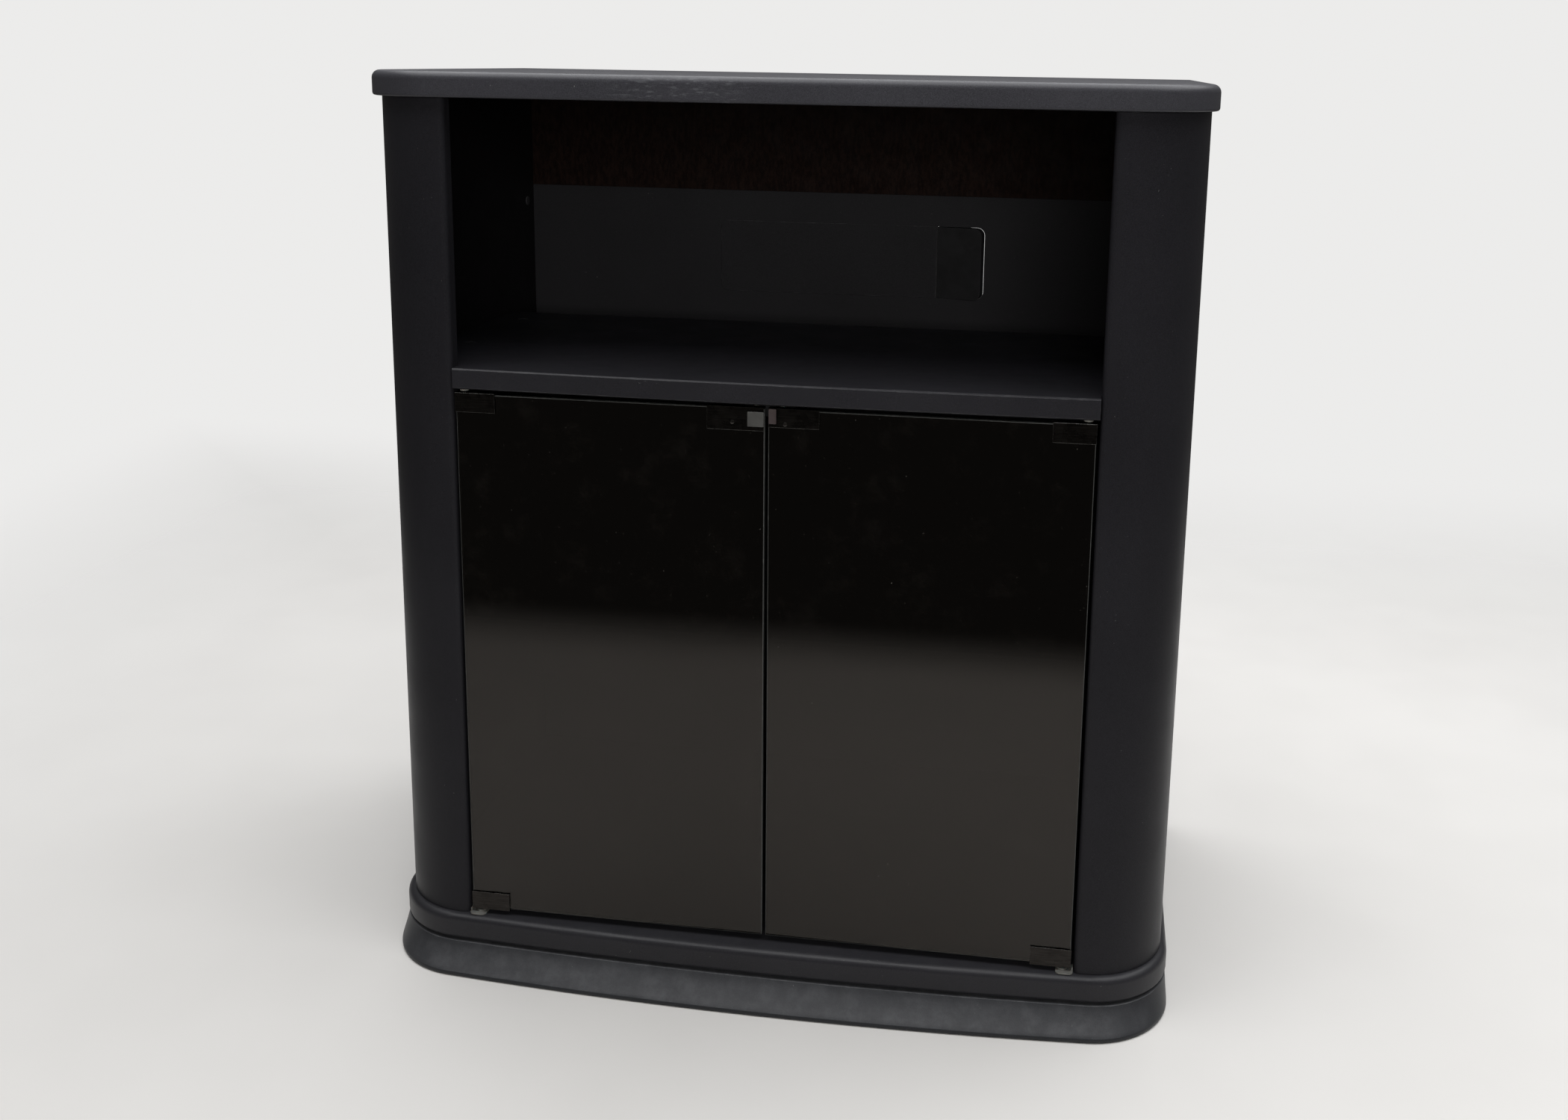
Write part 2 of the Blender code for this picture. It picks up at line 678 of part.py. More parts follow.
def make_strike(word, side, door):
    """A steel strike folded over the top edge of the glass at the door's free corner."""
    ends = (side * (DOOR_SPLIT + 0.0003), side * (DOOR_SPLIT + STRIKE_LENGTH[word]))
    bm = bmesh.new()
    add_extrusion(bm, channel_outline(DOOR_TOP, STRIKE_DROP[word], 1), min(ends), max(ends), "X")
    strike = finish(word + "_strike", bm, DARK_STEEL, 0.3, door, metallic=1.0)
    hole = bmesh.new()
    at = (side * RIVET_X[word], GLASS_Y - GAP - LEAF, DOOR_TOP - 0.0123)
    add_turned(hole, [(0.0014, -0.001), (0.0014, LEAF + 0.0001)], at, (0, 1, 0), 12)
    combine(strike, make_cutter(word + "_strike_hole", hole))


def make_strike_rivet(name, side, rivet_x, door):
    bm = bmesh.new()
    at = (side * rivet_x, GLASS_Y - GAP - LEAF - 0.0001, DOOR_TOP - 0.0123)
    profile = [(0.0011, -LEAF), (0.0011, 0.0), (0.0020, 0.0), (0.0017, 0.0005), (0.0008, 0.0009)]
    add_turned(bm, profile, at, (0, -1, 0), 12)
    finish(name, bm, STEEL, 0.3, door, metallic=1.0)


def make_push_pad(name, side, x_near, x_far, z_low, z_high, door):
    """The moulded pad that a finger presses to release the latch."""
    front = GLASS_Y - GAP - LEAF - GAP
    x0, x1 = sorted((side * x_near, side * x_far))
    bm = bmesh.new()
    add_box(bm, (x0, front - 0.0020, z_low), (x1, front, z_high), bevel=0.0006)
    finish(name, bm, (0.085, 0.085, 0.082), 0.4, door)


def make_latch_body(cabinet):
    """The latch's housing under the middle shelf, bored for two plungers and two screws."""
    low = (-0.0230, LATCH_FRONT, LATCH_Z - 0.0070)
    high = (0.0230, LATCH_BACK, SHELF_BOTTOM - GAP)
    bm = bmesh.new()
    add_box(bm, low, high, bevel=0.0008)
    body = finish("latch_body", bm, (0.05, 0.05, 0.05), 0.5, cabinet)
    holes = bmesh.new()
    for side in (-1, 1):
        at = (side * LATCH_X, LATCH_FRONT, LATCH_Z)
        bore = PLUNGER_R + 0.0003
        add_turned(holes, [(bore, -0.002), (bore, 0.0400)], at, (0, 1, 0), 20)
    for y in LATCH_SCREWS:
        add_turned(holes, [(0.0018, -0.02), (0.0018, 0.02)], (0, y, LATCH_Z), segments=12)
    combine(body, make_cutter("latch_bores", holes))


def make_plunger(name, side, plunger):
    """A spring-loaded plunger. Its bored tail holds the spring."""
    tail = LATCH_FRONT + 0.0240
    front = GLASS_Y + GLASS + GAP + LEAF + GAP + 0.0030 + GAP
    at = (side * LATCH_X, front, LATCH_Z)
    end = tail - front
    outside = [(PLUNGER_R - 0.0005, 0.0), (PLUNGER_R, 0.0005), (PLUNGER_R, end)]
    bore = [(0.0030, end), (0.0030, 0.0120)]
    bm = bmesh.new()
    add_turned(bm, outside + bore, at, (0, 1, 0), 16)
    finish(name, bm, NYLON, 0.45, plunger)


def make_magnet(name, side, plunger):
    front = GLASS_Y + GLASS + GAP + LEAF + GAP
    bm = bmesh.new()
    at = (side * LATCH_X, front, LATCH_Z)
    profile = [(0.0038, 0.0), (0.0042, 0.0004), (0.0042, 0.0030)]
    add_turned(bm, profile, at, (0, 1, 0), 16)
    finish(name, bm, STEEL, 0.3, plunger, metallic=1.0)


# Swivel bearing.


def make_bearing_plate(name, level, body, screws, lugs):
    """A pressed steel ring. lugs are the angles of the stop lugs, which point across the gap."""
    bm = bmesh.new()
    top = level + PLATE
    profile = [(BEARING_IN, level), (BEARING_OUT, level), (BEARING_OUT, top), (BEARING_IN, top)]
    add_turned_ring(bm, profile, (0, 0, 0), segments=48)
    plate = finish(name, bm, STEEL, 0.35, body, metallic=1.0)
    holes = bmesh.new()
    for x, y in screws:
        add_turned(holes, [(0.0022, -0.002), (0.0022, PLATE + 0.002)], (x, y, level), segments=10)
    combine(plate, make_cutter(name + "_holes", holes))
    for index, (angle, low, high) in enumerate(lugs):
        lug = bmesh.new()
        add_box(lug, (0.1110, -0.0025, low), (0.1180, 0.0025, high))
        turn = Matrix.Rotation(math.radians(angle), 3, "Z")
        bmesh.ops.rotate(lug, verts=lug.verts, matrix=turn)
        combine(plate, make_cutter(f"{name}_lug_{index}", lug), "UNION")


def make_bearing_screws(name, screws, level, up, length, body):
    for number, (x, y) in enumerate(screws, 1):
        bm = bmesh.new()
        add_screw(bm, (x, y, level), (0, 0, up), 0.0042, 0.0018, 0.0018, length)
        finish(f"{name}_{number}", bm, STEEL, 0.35, body, metallic=1.0)


def make_bearing(base, cage, cabinet):
    low = BEARING_FLOOR + GAP
    high = FLOOR_BOTTOM - GAP - PLATE
    lug_turn = SWIVEL_STOP + math.degrees(0.0050 / 0.1145) + 0.4
    fixed = [(-90, low + PLATE / 2, high - 2 * GAP)]
    moving = [(-90 + s * lug_turn, low + PLATE + 2 * GAP, high + PLATE / 2) for s in (-1, 1)]
    lower_screws = around(LOWER_SCREW_R, BEARING_SCREWS, 90)
    upper_screws = around(UPPER_SCREW_R, BEARING_SCREWS, 30)
    make_bearing_plate("swivel_lower_plate", low, base, lower_screws, fixed)
    make_bearing_plate("swivel_upper_plate", high, cabinet, upper_screws, moving)
    seat = low + PLATE + 0.0001
    make_bearing_screws("swivel_lower_screw", lower_screws, seat, 1, 0.0120, base)
    make_bearing_screws("swivel_upper_screw", upper_screws, high - 0.0001, -1, 0.0130, cabinet)
    make_cage((low + PLATE + high) / 2, cage)


def make_cage(middle, cage):
    """The balls and the ladder-shaped ring that holds them: two hoops joined between the balls."""
    radii = [RACE_R - 0.0055, RACE_R - 0.0022, RACE_R + 0.0022, RACE_R + 0.0055]
    sectors = BALLS * 4
    half = 0.0006
    bm = bmesh.new()
    verts = {}
    for level in (0, 1):
        for k, radius in enumerate(radii):
            for i, (x, y) in enumerate(around(radius, sectors, -180 / sectors)):
                verts[level, k, i] = bm.verts.new((x, y, middle + (2 * level - 1) * half))

    def filled(k, i):
        return k in (0, 2) or (k == 1 and i % 4 == 2)

    for i in range(sectors):
        j = (i + 1) % sectors
        for k in range(3):
            if not filled(k, i):
                continue
            for level in (0, 1):
                bm.faces.new([verts[level, a, b] for a, b in ((k, i), (k + 1, i), (k + 1, j), (k, j))])
            for a in (k, k + 1):
                beside = k - 1 if a == k else k + 1
                if beside in (0, 1, 2) and filled(beside, i):
                    continue
                bm.faces.new((verts[0, a, i], verts[0, a, j], verts[1, a, j], verts[1, a, i]))
            for b, beside in ((i, (i - 1) % sectors), (j, j)):
                if filled(k, beside):
                    continue
                bm.faces.new((verts[0, k, b], verts[0, k + 1, b], verts[1, k + 1, b], verts[1, k, b]))
    ring = finish("swivel_ball_ring", bm, STEEL, 0.4, cage, metallic=1.0)
    balls = bmesh.new()
    for x, y in around(RACE_R, BALLS):
        bmesh.ops.create_icosphere(
            balls, subdivisions=2, radius=BALL_R, matrix=Matrix.Translation((x, y, middle))
        )
    combine(ring, make_cutter("swivel_balls", balls), "UNION")


def make_latch_screws(cabinet):
    for end, y in zip(("front", "rear"), LATCH_SCREWS):
        bm = bmesh.new()
        seat = (0, y, LATCH_Z - 0.0070 - GAP)
        add_screw(bm, seat, (0, 0, -1), 0.0032, 0.0016, 0.0014, 0.0200)
        finish(f"latch_screw_{end}", bm, STEEL, 0.35, cabinet, metallic=1.0)


def main():
    clear_scene()
    base = make_empty("base", (0, 0, 0))
    cage = make_empty("ball_cage", (0, 0, 0.023), base)
    cabinet = make_empty("cabinet", (0, 0, FLOOR_BOTTOM), base)
    flap = make_empty("flap_hinge", (PORT_SPLIT, PORT_FACE_Y, (PORT_LOW + PORT_HIGH) / 2), cabinet)

    make_plinth(base)
    make_bearing(base, cage, cabinet)
    make_bottom_board(cabinet)
    make_top_board(cabinet)
    make_middle_shelf(cabinet)
    make_back_panel(cabinet)
    make_upper_back_board(cabinet)
    make_back_screws(cabinet)
    make_port_cover(cabinet)
    make_port_flap(flap)
    make_latch_body(cabinet)
    make_latch_screws(cabinet)

    for word, side in (("left", -1), ("right", 1)):
        make_column(word + "_column", side, cabinet)
        make_side_panel(word + "_side_panel", side, cabinet)
        door = make_empty(word + "_door", (side * PIVOT_X, PIVOT_Y, DOOR_BOTTOM), cabinet)
        make_glass(word + "_glass", side, door)
        make_caps(word, side, cabinet)
        for end, up in (("top", 1), ("bottom", -1)):
            make_hinge_clamp(f"{word}_{end}_hinge_clamp", side, up, door)
            make_clamp_screw(f"{word}_{end}_clamp_screw", side, up, door)
        make_top_bush(word + "_top_bush", side, cabinet)
        make_bottom_bush(word + "_bottom_bush", side, cabinet)
        make_strike(word, side, door)
        make_strike_rivet(word + "_strike_rivet", side, RIVET_X[word], door)
        make_push_pad(word + "_push_pad", side, *PADS[word], door)
        at = (side * LATCH_X, LATCH_FRONT, LATCH_Z)
        plunger = make_empty(word + "_latch_plunger", at, cabinet)
        make_plunger(word + "_plunger", side, plunger)
        make_magnet(word + "_magnet", side, plunger)


main()
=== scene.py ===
"""Looks of the stand cabinet: bevelled pieces, procedural materials, a pale floor and soft light.

Metres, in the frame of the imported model. Every piece starts from the CAD node it stands for.
"""

import json
import math

import bmesh
import bpy
from mathutils import Matrix, Vector

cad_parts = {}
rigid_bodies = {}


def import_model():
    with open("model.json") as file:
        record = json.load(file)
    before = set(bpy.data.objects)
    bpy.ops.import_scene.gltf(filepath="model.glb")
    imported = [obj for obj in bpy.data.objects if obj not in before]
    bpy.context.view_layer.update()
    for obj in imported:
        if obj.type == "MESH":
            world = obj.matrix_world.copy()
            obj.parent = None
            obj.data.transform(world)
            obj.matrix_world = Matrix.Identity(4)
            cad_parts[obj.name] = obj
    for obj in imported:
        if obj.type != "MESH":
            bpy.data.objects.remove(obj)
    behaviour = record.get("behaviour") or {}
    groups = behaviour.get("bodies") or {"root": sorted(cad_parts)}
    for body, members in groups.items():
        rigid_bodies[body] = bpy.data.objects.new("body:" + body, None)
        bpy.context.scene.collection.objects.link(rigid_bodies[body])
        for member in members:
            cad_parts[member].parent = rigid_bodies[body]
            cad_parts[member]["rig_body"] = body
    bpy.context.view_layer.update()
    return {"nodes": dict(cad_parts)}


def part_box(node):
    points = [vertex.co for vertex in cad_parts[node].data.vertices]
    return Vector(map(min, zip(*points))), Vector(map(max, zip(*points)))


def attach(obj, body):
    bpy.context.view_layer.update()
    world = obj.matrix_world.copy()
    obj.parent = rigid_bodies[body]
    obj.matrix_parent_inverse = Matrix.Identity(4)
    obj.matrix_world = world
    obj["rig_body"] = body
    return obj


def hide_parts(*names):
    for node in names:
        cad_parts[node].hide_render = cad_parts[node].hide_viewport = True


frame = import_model()
NODES = frame["nodes"]
SIDES = ("left", "right")

# Camera, found from the edges of the boards and columns.
CAMERA_AT = (0.2683, -1.4871, 0.8561)
CAMERA_YAW, CAMERA_PITCH, CAMERA_ROLL = 0.1530, -0.2056, 0.0163
CAMERA_LENS = 36.11  # mm
CAMERA_SENSOR = 36.0  # mm
CAMERA_SHIFT = (-0.0386, -0.110)

# Meshes.
WELD = 0.000005  # corners nearer than this become one
FLAT_ANGLE = 0.6  # degrees; faces that meet flatter than this become one
SHARP_ANGLE = 32.0  # degrees; edges sharper than this are rounded
SMOOTH_ANGLE = 40.0  # degrees; edges flatter than this are shaded smooth
BROAD_FACE = 0.99  # a pane's two broad faces point along y by at least this much
INNER_FACE = 0.9  # a side panel's inner face points inward by at least this much
FIT = 0.0003  # pieces of one body that meet in the CAD with this gap
FLAP_REACH = 0.0004  # how much nearer the flap comes to the rim of its hole than in the CAD

# Rounding of the pieces' edges.
ROUND_BOARD = 0.0004
ROUND_INNER = 0.0003
ROUND_SIDE = 0.0006
ROUND_FLAP = 0.0006
ROUND_COVER = 0.0005
ROUND_SHEET = 0.00035
ROUND_NYLON = 0.0003
ROUND_SMALL = 0.0002
AS_IN_CAD = 0.0

# The cross recess of a screw, as shares of the head's radius.
RECESS_ARM = 0.62
RECESS_HALF = 0.13
RECESS_DEPTH = 0.36
RECESS_TAPER = 0.45  # length of the arms at the bottom, as a share of the top
RECESS_ABOVE = 0.0004  # how far the cutter stands out of the head

# Floor and backdrop.
FLOOR_FRONT = -1.19  # front edge of the pale floor
FLOOR_FADE = 0.24  # its front fades in over this distance
FLOOR_REACH = (0.55, 1.9)  # its sides and back fade out between these distances
FLOOR_MARGIN = 0.01  # bare floor past the end of the fade
FLOOR_TONES = (0.53, 0.52, 0.505), (0.56, 0.55, 0.535)
BACKDROP = (0.84, 0.836, 0.828, 1)  # what the camera sees behind the floor
ROOM = (0.075, 0.072, 0.068, 1)  # what lights the object and shows in its reflections

OVERHEAD_LIGHT = dict(
    at=(0.40, 0.15, 2.5),
    target=(0.40, 0.15, 0),
    size=(4.2, 3.2),
    power=172,
    color=(0.985, 0.99, 1.0),
)
FRONT_LIGHT = dict(
    at=(0.5, -2.1, 1.0),
    target=(0, 0, 0.65),
    size=(0.9, 0.7),
    power=5.6,
    color=(1.0, 0.98, 0.95),
    spread=80,
    mirrored=False,
)

# What lies on the foil or shows through it, linear RGB.
DUST = (0.175, 0.178, 0.188)
SCUFF = (0.16, 0.16, 0.17)
SPECK = (0.24, 0.24, 0.23)
WORN_FOIL = (0.105, 0.105, 0.11)
RUBBED_FOIL = (0.15, 0.155, 0.165)


# Node trees.

# Sockets of a Mix node that mixes colours. Several of its sockets share a name.
MIX_A, MIX_B, MIX_RESULT = 6, 7, 2


class Tree:
    """Short calls for building a shader node tree."""

    def __init__(self, name):
        self.material = bpy.data.materials.new(name)
        self.material.use_nodes = True
        self.nodes = self.material.node_tree.nodes
        self.links = self.material.node_tree.links
        self.nodes.clear()
        self.place = self.node("ShaderNodeTexCoord").outputs["Object"]

    def node(self, kind, **settings):
        made = self.nodes.new(kind)
        for key, value in settings.items():
            setattr(made, key, value)
        return made

    def feed(self, socket, value):
        if isinstance(value, bpy.types.NodeSocket):
            self.links.new(value, socket)
        elif value is not None:
            socket.default_value = value

    def feed_color(self, socket, value):
        """value is a socket or linear RGB."""
        self.feed(socket, value if isinstance(value, bpy.types.NodeSocket) else (*value, 1.0))

    def noise(self, scale, detail=2.0, rough=0.5, stretch=None, offset=(0, 0, 0)):
        """Fractal noise. scale is in cycles per metre; stretch scales each axis."""
        place = self.place
        if stretch or any(offset):
            mapping = self.node("ShaderNodeMapping")
            self.feed(mapping.inputs["Vector"], place)
            mapping.inputs["Scale"].default_value = stretch or (1, 1, 1)
            mapping.inputs["Location"].default_value = offset
            place = mapping.outputs["Vector"]
        noise = self.node("ShaderNodeTexNoise")
        self.feed(noise.inputs["Vector"], place)
        noise.inputs["Scale"].default_value = scale
        noise.inputs["Detail"].default_value = detail
        noise.inputs["Roughness"].default_value = rough
        return noise.outputs["Fac"]

    def ramp(self, value, low, high, out_low=0.0, out_high=1.0):
        """Maps low..high to out_low..out_high, smoothly and clamped."""
        made = self.node("ShaderNodeMapRange", interpolation_type="SMOOTHSTEP")
        self.feed(made.inputs["Value"], value)
        limits = {"From Min": low, "From Max": high, "To Min": out_low, "To Max": out_high}
        for name, number in limits.items():
            made.inputs[name].default_value = number
        return made.outputs["Result"]

    def math(self, operation, a, b=None):
        made = self.node("ShaderNodeMath", operation=operation)
        self.feed(made.inputs[0], a)
        if b is not None:
            self.feed(made.inputs[1], b)
        return made.outputs["Value"]

    def mix(self, share, a, b):
        """Colour a to b by share. a and b are sockets or linear RGB."""
        made = self.node("ShaderNodeMix", data_type="RGBA")
        self.feed(made.inputs["Factor"], share)
        self.feed_color(made.inputs[MIX_A], a)
        self.feed_color(made.inputs[MIX_B], b)
        return made.outputs[MIX_RESULT]

    def overlay(self, color, over, where, strength):
        """color with over laid on it where the value where is high."""
        return self.mix(self.math("MULTIPLY", where, strength), color, over)

    def bevelled_edges(self):
        """1 on the bevelled edges of a piece, 0 elsewhere."""
        return self.node("ShaderNodeAttribute", attribute_name="edge").outputs["Fac"]

    def upward(self):
        """1 where the surface faces up, 0 on walls and undersides."""
        split = self.node("ShaderNodeSeparateXYZ")
        self.feed(split.inputs[0], self.node("ShaderNodeNewGeometry").outputs["Normal"])
        return self.ramp(split.outputs["Z"], 0.25, 0.9)

    def bump(self, height, distance, strength, under=None):
        made = self.node("ShaderNodeBump")
        self.feed(made.inputs["Height"], height)
        made.inputs["Distance"].default_value = distance
        made.inputs["Strength"].default_value = strength
        self.feed(made.inputs["Normal"], under)
        return made.outputs["Normal"]

    def shade(self, color, roughness, normal=None, **sockets):
        shader = self.node("ShaderNodeBsdfPrincipled")
        self.feed_color(shader.inputs["Base Color"], color)
        self.feed(shader.inputs["Roughness"], roughness)
        self.feed(shader.inputs["Normal"], normal)
        for name, value in sockets.items():
            self.feed(shader.inputs[name.replace("_", " ")], value)
        output = self.node("ShaderNodeOutputMaterial")
        self.links.new(shader.outputs["BSDF"], output.inputs["Surface"])
        return self.material


# Materials.


def laminate(
    name, dark, light, dust, sheen_low=0.37, sheen_high=0.44, gloss=0.25, rubbed=None
):
    """Satin charcoal foil on board: fine pearl grain, clouding, scuffs, worn edges, dust on top.

    rubbed places the rub marks: (middle, half_width, front).
    """
    t = Tree(name)
    grain = t.ramp(t.noise(2400, 3, 0.6), 0.36, 0.66)
    cloud = t.ramp(t.noise(7, 3), 0.3, 0.7)
    scratch = t.ramp(t.noise(14, 2, 0.5, stretch=(60, 60, 4)), 0.76, 0.82)
    rub = t.ramp(t.noise(26, 4, 0.65, offset=(3.1, 0.4, 1.7)), 0.60, 0.80)
    fleck = t.ramp(t.noise(620, 2, 0.5, offset=(1.3, 2.2, 0.6)), 0.735, 0.78)
    speckled = t.math("MULTIPLY", fleck, t.ramp(t.noise(38, 2), 0.52, 0.66))
    chipped = t.ramp(t.noise(95, 4, 0.7), 0.46, 0.72, 0.06, 0.50)
    settled = t.ramp(t.noise(55, 5, 0.7), 0.35, 0.75, dust * 0.5, dust)
    dusty = t.math("MULTIPLY", t.upward(), settled)
    color = t.mix(grain, dark, light)
    color = t.overlay(color, tuple(c * 1.5 for c in light), cloud, 0.13)
    color = t.mix(dusty, color, DUST)
    color = t.overlay(color, SCUFF, t.math("MULTIPLY", scratch, rub), 0.5)
    color = t.overlay(color, SPECK, speckled, 0.6)
    color = t.mix(t.math("MULTIPLY", t.bevelled_edges(), chipped), color, WORN_FOIL)
    if rubbed:
        color = t.mix(rub_marks(t, *rubbed), color, RUBBED_FOIL)
    patches = t.noise(19, 4, 0.6, offset=(5.0, 1.0, 2.0))
    rough = t.ramp(patches, 0.3, 0.72, sheen_low, sheen_high)
    rough = t.math("ADD", rough, t.math("MULTIPLY", dusty, 0.35))
    peel = t.bump(t.noise(900, 2, 0.4), 0.00006, 0.55)
    normal = t.bump(t.noise(3400, 2, 0.5), 0.000035, 0.5, under=peel)
    return t.shade(color, rough, normal, Specular_IOR_Level=gloss)


def rub_marks(t, middle, half_width, front):
    """Short pale streaks, 0 to 1, on faces that lie before y = front and near x = middle."""
    split = t.node("ShaderNodeSeparateXYZ")
    t.feed(split.inputs[0], t.place)
    aside = t.math("ABSOLUTE", t.math("SUBTRACT", split.outputs["X"], middle))
    near = t.ramp(aside, half_width * 0.3, half_width, 1.0, 0.0)
    ahead = t.ramp(split.outputs["Y"], front, front + 0.003, 1.0, 0.0)
    streaks = t.ramp(t.noise(520, 4, 0.65, stretch=(0.2, 1, 1.2)), 0.50, 0.68, 0.0, 0.30)
    return t.math("MULTIPLY", streaks, t.math("MULTIPLY", near, ahead))


def smoked_glass():
    """Grey-brown float glass with wiped smears, a few prints and specks of dust."""
    t = Tree("smoked_glass")
    smear = t.ramp(t.noise(16, 4, 0.6, stretch=(1, 1, 2.2)), 0.52, 0.78)
    spot = t.ramp(t.noise(300, 2), 0.70, 0.78)
    rough = t.ramp(smear, 0, 1, 0.012, 0.055)
    rough = t.math("ADD", rough, t.math("MULTIPLY", spot, 0.10))
    speck = t.ramp(t.noise(520, 1, 0.5, offset=(0.7, 0.2, 1.1)), 0.80, 0.84)
    film = t.math("MULTIPLY", t.ramp(t.noise(34, 4, 0.7), 0.50, 0.75), 0.030)
    dust = t.math("MAXIMUM", t.math("MULTIPLY", speck, 0.5), film)
    streaks = t.ramp(t.noise(5, 2), 0.3, 0.7)
    tint = t.mix(streaks, (0.060, 0.052, 0.047), (0.068, 0.058, 0.052))
    tint = t.mix(dust, tint, (0.30, 0.29, 0.27))
    return t.shade(
        tint, rough, t.bump(t.noise(3.0, 1), 0.0001, 0.03),
        Transmission_Weight=t.math("SUBTRACT", 1.0, dust),
        IOR=1.45, Specular_Tint=(1.0, 0.93, 0.86, 1.0),
    )


def ground_glass():
    """The ground and half polished edge of the glass."""
    t = Tree("ground_glass_edge")
    grit = t.noise(1500, 3, 0.6)
    chips = t.ramp(t.noise(210, 3, 0.6), 0.58, 0.72)
    color = t.mix(t.ramp(grit, 0.35, 0.65), (0.034, 0.035, 0.034), (0.062, 0.064, 0.062))
    color = t.overlay(color, (0.14, 0.145, 0.14), chips, 0.5)
    rough = t.ramp(t.noise(60, 3), 0.3, 0.7, 0.30, 0.48)
    relief = t.bump(grit, 0.00005, 0.6)
    return t.shade(color, rough, relief, IOR=1.52, Specular_IOR_Level=0.3)


def metal(name, dark, light, edge, rough, brushed=(1, 1, 1), stained=0.35):
    """Plated steel with drawn lines, stains and lighter edges, from rubbing and as a painted edge
    highlight. rough is (lowest, highest).
    """
    t = Tree(name)
    lines = t.noise(900, 3, 0.6, stretch=brushed)
    stain = t.ramp(t.noise(110, 4, 0.65), 0.45, 0.75)
    color = t.mix(t.ramp(lines, 0.3, 0.7), dark, light)
    color = t.overlay(color, tuple(c * 0.55 for c in dark), stain, stained)
    # Every bevelled edge goes at least a third of the way to edge: worn steel and a painted edge
    # highlight.
    worn = t.math("MULTIPLY", t.bevelled_edges(), t.ramp(t.noise(240, 3), 0.35, 0.6, 0.35, 1.0))
    color = t.mix(worn, color, edge)
    polish = t.ramp(t.noise(130, 4, 0.6), 0.3, 0.7, *rough)
    return t.shade(color, polish, t.bump(lines, 0.00002, 0.5), Metallic=1.0)


def plastic(name, dark, light, rough, soft=0.0, dirt=0.3):
    """Moulded plastic with an eroded texture, handling marks and a painted highlight on its
    edges. rough is (lowest, highest).
    """
    t = Tree(name)
    tone = t.ramp(t.noise(60, 4, 0.6), 0.3, 0.7)
    grime = t.ramp(t.noise(420, 4, 0.7), 0.56, 0.74)
    color = t.mix(tone, dark, light)
    color = t.overlay(color, tuple(c * 0.5 for c in dark), grime, dirt)
    # Every bevelled edge evenly lighter: a painted edge highlight.
    color = t.overlay(color, tuple(min(1.0, c * 1.8) for c in light), t.bevelled_edges(), 0.3)
    sheen = t.ramp(t.noise(170, 3), 0.3, 0.7, *rough)
    texture = t.bump(t.noise(2200, 3, 0.6), 0.00004, 0.6)
    return t.shade(color, sheen, texture, Subsurface_Weight=soft, Subsurface_Scale=0.001)


def hardboard():
    """Dark painted face of hardboard: pressed fibres under thin paint."""
    t = Tree("hardboard")
    fibre = t.noise(330, 5, 0.7, stretch=(1, 1, 0.35))
    color = t.mix(t.ramp(fibre, 0.35, 0.7), (0.0050, 0.0030, 0.0027), (0.0125, 0.0070, 0.0056))
    rub = t.ramp(t.noise(15, 4, 0.6), 0.62, 0.8)
    color = t.overlay(color, (0.030, 0.018, 0.013), rub, 0.4)
    rough = t.ramp(t.noise(48, 3), 0.3, 0.7, 0.55, 0.75)
    return t.shade(color, rough, t.bump(fibre, 0.00012, 0.5))


# Tones of the materials, linear RGB: dark and light, and for steel its edges, lightened for
# rubbing and as a painted edge highlight.
FOIL = (0.0068, 0.0066, 0.0080), (0.0185, 0.0182, 0.0215)
# The columns' and outer side faces' copy of the foil, darker: painted shade.
COLUMN_FOIL_SHADED = (0.0056, 0.0054, 0.0065), (0.0155, 0.0152, 0.0178)
# The top board's copy of the foil, over twice as light: painted light for the sheen along its
# front.
TOP_FOIL_LIT = (0.0158, 0.0156, 0.0185), (0.0420, 0.0420, 0.0488)
# The base's copy of the foil, lighter: painted light from above.
BASE_FOIL_LIT = (0.0076, 0.0080, 0.0092), (0.0215, 0.0227, 0.0256)
INSIDE_FOIL = (0.0035, 0.0033, 0.0036), (0.0080, 0.0076, 0.0084)
# The back panel's and port cover's copy of the foil, lighter: painted light for the lit strip at
# the back of the bay.
BACK_FOIL_LIT = (0.0092, 0.0090, 0.0098), (0.0195, 0.0192, 0.0210)
TOP_RUB_MARKS = (-0.075, 0.075, -0.196)  # middle, half width and front of the rub marks

BLACK_STEEL = (0.0205, 0.0185, 0.0172), (0.0370, 0.0338, 0.0312), (0.13, 0.127, 0.12)
ZINC_STEEL = (0.50, 0.50, 0.49), (0.68, 0.68, 0.67), (0.8, 0.8, 0.8)
RIVET_STEEL = (0.050, 0.046, 0.043), (0.085, 0.078, 0.073), (0.12, 0.11, 0.10)
BEARING_STEEL = (0.42, 0.43, 0.44), (0.58, 0.59, 0.60), (0.7, 0.7, 0.7)

GREY_NYLON = (0.070, 0.069, 0.064), (0.115, 0.113, 0.104)
GREY_PAD = (0.040, 0.040, 0.038), (0.060, 0.060, 0.057)
PINKISH_PAD = (0.032, 0.024, 0.024), (0.046, 0.036, 0.036)
BLACK_PLASTIC = (0.016, 0.016, 0.017), (0.030, 0.030, 0.032)
PORT_PLASTIC = (0.0098, 0.0098, 0.0103), (0.0130, 0.0130, 0.0140)
PAD_ROUGH = (0.32, 0.48)

